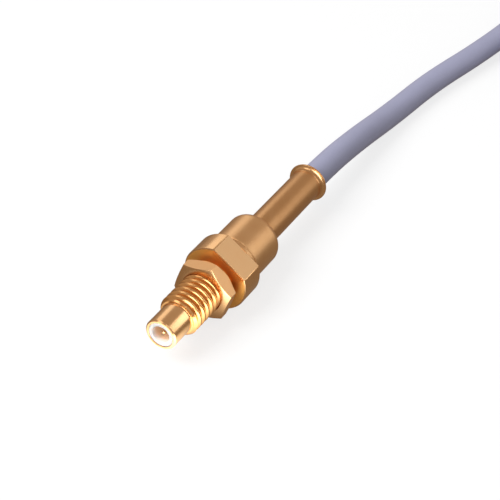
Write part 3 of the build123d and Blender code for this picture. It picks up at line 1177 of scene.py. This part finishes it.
def soft_box(bm, size, middle, ease):
    """A box with rounded edges."""
    place = Matrix.Translation(middle) @ Matrix.Diagonal((*size, 1))
    verts = bmesh.ops.create_cube(bm, size=1, matrix=place)["verts"]
    edges = list({e for v in verts for e in v.link_edges})
    bmesh.ops.bevel(bm, geom=edges, offset=ease, segments=3, profile=0.5, affect="EDGES", material=-1)


def build_tie():
    """The strap goes round two runs that lie along Y, so its loop stands across them."""
    half_x = COIL_PITCH / 2 + CABLE_R + TIE_PLAY
    half_z = CABLE_R + TIE_PLAY
    thickness = TIE_THICKNESS - TIE_PLAY
    bm = bmesh.new()
    corners = [(-half_x, -half_z), (half_x, -half_z), (half_x, half_z), (-half_x, half_z)]
    loop = bm.faces.new([bm.verts.new((x, -TIE_WIDTH / 2, z)) for x, z in corners])
    bmesh.ops.bevel(
        bm, geom=loop.verts[:], offset=STRAP_CORNER, segments=5, profile=0.5, affect="VERTICES", material=-1
    )
    made = bmesh.ops.extrude_edge_only(bm, edges=bm.edges[:])["geom"]
    bmesh.ops.translate(
        bm, verts=[g for g in made if isinstance(g, bmesh.types.BMVert)], vec=(0, TIE_WIDTH, 0)
    )
    bmesh.ops.delete(bm, geom=[f for f in bm.faces if len(f.verts) > 4], context="FACES_ONLY")
    bmesh.ops.recalc_face_normals(bm, faces=bm.faces[:])
    bmesh.ops.solidify(bm, geom=bm.faces[:], thickness=thickness)
    ribs = int(RIB_SHARE * 2 * half_x / RIB_SPACING)
    for i in range(ribs):
        x = (i - (ribs - 1) / 2) * RIB_SPACING
        soft_box(bm, RIB_SIZE, (x, 0, half_z + thickness - RIB_SIZE[2] / 4), RIB_EASE)
    head_x = half_x + thickness + TIE_HEAD[0] / 2
    soft_box(bm, TIE_HEAD, (head_x - TIE_PLAY, 0, 0), HEAD_EASE)
    tail_z = TIE_HEAD[2] / 2 + TIE_TAIL / 2 - TIE_PLAY
    soft_box(bm, (TIE_THICKNESS, TIE_WIDTH, TIE_TAIL), (head_x, 0, tail_z), TAIL_EASE)
    bmesh.ops.translate(bm, verts=bm.verts[:], vec=TIE_MIDDLE)
    return bm


tie_piece = finish_piece(build_tie(), "strap_tie", [NYLON_WHITE], "connector", "coil_tie")

# %% [markdown]
# ## Nodes that stay
#
# The rear insulator and the cable's layers inside the crimp are closed in by other pieces. Their shape in
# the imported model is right, so they only get their finish.

# %% Finish the inner nodes
INNER_FINISHES = {
    "rear_insulator": INSULATOR_WHITE,
    "cable_dielectric": INSULATOR_WHITE,
    "cable_braid": BRAID_SILVER,
    "cable_conductor": SOLID_WIRE,
}
for node_name, material in INNER_FINISHES.items():
    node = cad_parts[node_name]
    node.data.materials.clear()
    node.data.materials.append(material)
print("inner nodes with a finish:", sorted(INNER_FINISHES))

# %% [markdown]
# ## Lamps
#
# Polished metal shows its surroundings, so the lamps are soft boxes placed where the photograph's long
# highlights say. On a cylinder a box shows as a stripe, so each box is turned by the jack's own axis: its
# width is how far the stripe spreads round the jack, and its height lies along it. The front box stands
# low before the jack, where the front flanks of the thread look. The key box lights what is matt, the
# cable and the floor, and casts the shadow. In the gold it would be a burnt-out spot that the photograph
# doesn't have, so reflections leave it out.

# %% Place the lamps
LAMP_DISTANCE = 0.45
SOFT_BOXES = [
    ("right_box", (0.745, 0.540, 0.390), 0.36, 0.08, 2.15),
    ("left_box", (-0.59, 0.60, 0.54), 0.21, 0.17, 0.72),
    ("glint_box", (-0.42, -0.55, 0.72), 0.20, 0.20, 1.2),
    ("front_box", (0.25, -0.95, 0.16), 0.34, 0.20, 4.0),
]
UNSEEN_BOXES = [
    ("key_box", (-0.42, -0.50, 0.76), 0.30, 0.30, 6.6),
]


def place_soft_box(name, direction, width, height, brightness):
    """A lamp that faces the jack, turned by the jack's axis, with this brightness in a mirror."""
    data = bpy.data.lights.new(name, "AREA")
    data.shape = "RECTANGLE"
    data.size = width
    data.size_y = height
    data.energy = brightness * math.pi * width * height
    lamp = bpy.data.objects.new(name, data)
    away = Vector(direction).normalized()
    lamp.location = away * LAMP_DISTANCE
    lamp.rotation_mode = "QUATERNION"
    across = AXIS.cross(away).normalized()
    turned = Matrix((across, away.cross(across), away)).transposed()
    lamp.rotation_quaternion = turned.to_quaternion()
    bpy.context.scene.collection.objects.link(lamp)
    return lamp


lamps = [place_soft_box(*row) for row in SOFT_BOXES + UNSEEN_BOXES]
for lamp in lamps[len(SOFT_BOXES):]:
    lamp.visible_glossy = False
print("lamps:", {lamp.name: round(lamp.data.energy, 2) for lamp in lamps})

# %% [markdown]
# ## Backdrop and floor
#
# The photograph's background is white, but its gold is brown in the shade, so what the jack mirrors isn't
# that white. Each ray is therefore answered by its kind: the camera sees white, reflections see a dim warm
# room, and all else gets an even fill. The floor is made in the same way. To the camera it is pale and
# takes the shadow. To reflections it is dim, with one bright card that lies in front of the jack on the
# right, where the thread's lower flanks look.

# %% Light the backdrop
STUDIO_GLOW = (0.41, 0.33, 0.27)
FILL_LIGHT = 0.35


def light_backdrop():
    """White to the camera, a dim warm studio to reflections, and an even fill to everything else."""
    finish = Finish(bpy.data.worlds.new("studio"))
    seen = finish.node("ShaderNodeLightPath", output="Is Camera Ray")
    mirrored = finish.node("ShaderNodeLightPath", output="Is Glossy Ray")
    unseen = finish.tint(mirrored, (FILL_LIGHT,) * 3, STUDIO_GLOW)
    colour = finish.tint(seen, unseen, (1, 1, 1))
    shader = finish.node("ShaderNodeBackground", sockets={"Color": colour, "Strength": 1.0})
    finish.output("ShaderNodeOutputWorld", shader)
    bpy.context.scene.world = finish.owner


light_backdrop()
print("world:", bpy.context.scene.world.name)

# %% Lay the floor
FLOOR_SIZE = 3.0
FLOOR_PALE = (0.93, 0.93, 0.93, 1)
FLOOR_BOUNCE = (0.30, 0.29, 0.28, 1)
FLOOR_WHITE = 1.02
WHITE_SHARE = 0.75
FLOOR_GLOW = (0.25, 0.19, 0.14)
# The card is no lamp: a glow painted on the floor that only reflections see.
CARD_GLOW = (4.5, 4.3, 4.0)
CARD_MIDDLE = Vector((10, -23, 0))
CARD_R = (8, 22)


def lay_floor():
    """A wide pale floor that the flange's rim and the cable rest on."""
    bm = bmesh.new()
    bmesh.ops.create_grid(bm, size=FLOOR_SIZE / 2, matrix=Matrix.Translation((0, 0, FLOOR_Z * MM)))
    data = bpy.data.meshes.new("floor")
    bm.to_mesh(data)
    bm.free()
    floor = bpy.data.objects.new("floor", data)
    bpy.context.scene.collection.objects.link(floor)
    data.materials.append(floor_finish())
    floor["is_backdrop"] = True
    return floor


def floor_finish():
    """Pale with a shadow to the camera, a dim room with a glowing painted card to reflections, and plain to
    the rest.
    """
    finish = Finish(bpy.data.materials.new("pale_floor"))
    pale = finish.node("ShaderNodeBsdfDiffuse", sockets={"Color": FLOOR_PALE})
    glow = finish.node("ShaderNodeEmission", sockets={"Color": (1, 1, 1, 1), "Strength": FLOOR_WHITE})
    shown = finish.node("ShaderNodeMixShader", sockets={0: WHITE_SHARE, 1: pale, 2: glow})
    bounce = finish.node("ShaderNodeBsdfDiffuse", sockets={"Color": FLOOR_BOUNCE})
    reach = finish.node(
        "ShaderNodeVectorMath",
        {"operation": "DISTANCE"},
        {0: finish.place(), 1: CARD_MIDDLE},
        output="Value",
    )
    card = finish.node(
        "ShaderNodeMapRange",
        {"interpolation_type": "SMOOTHSTEP"},
        {"Value": reach, "From Min": CARD_R[1], "From Max": CARD_R[0]},
    )
    room = finish.node("ShaderNodeEmission", sockets={"Color": finish.tint(card, FLOOR_GLOW, CARD_GLOW)})
    mirrored = finish.node("ShaderNodeLightPath", output="Is Glossy Ray")
    unseen = finish.node("ShaderNodeMixShader", sockets={0: mirrored, 1: bounce, 2: room})
    seen = finish.node("ShaderNodeLightPath", output="Is Camera Ray")
    shader = finish.node("ShaderNodeMixShader", sockets={0: seen, 1: unseen, 2: shown})
    finish.output("ShaderNodeOutputMaterial", shader)
    return finish.owner


floor = lay_floor()
bpy.context.scene.view_settings.view_transform = "Standard"
print("floor at z, mm:", round(FLOOR_Z, 2))

visual_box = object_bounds()
sizes = {"cad": [list(c) for c in cad_box], "visual": [list(c) for c in visual_box]}
for label, box in sizes.items():
    print(label, [[round(x / MM, 2) for x in corner] for corner in box])
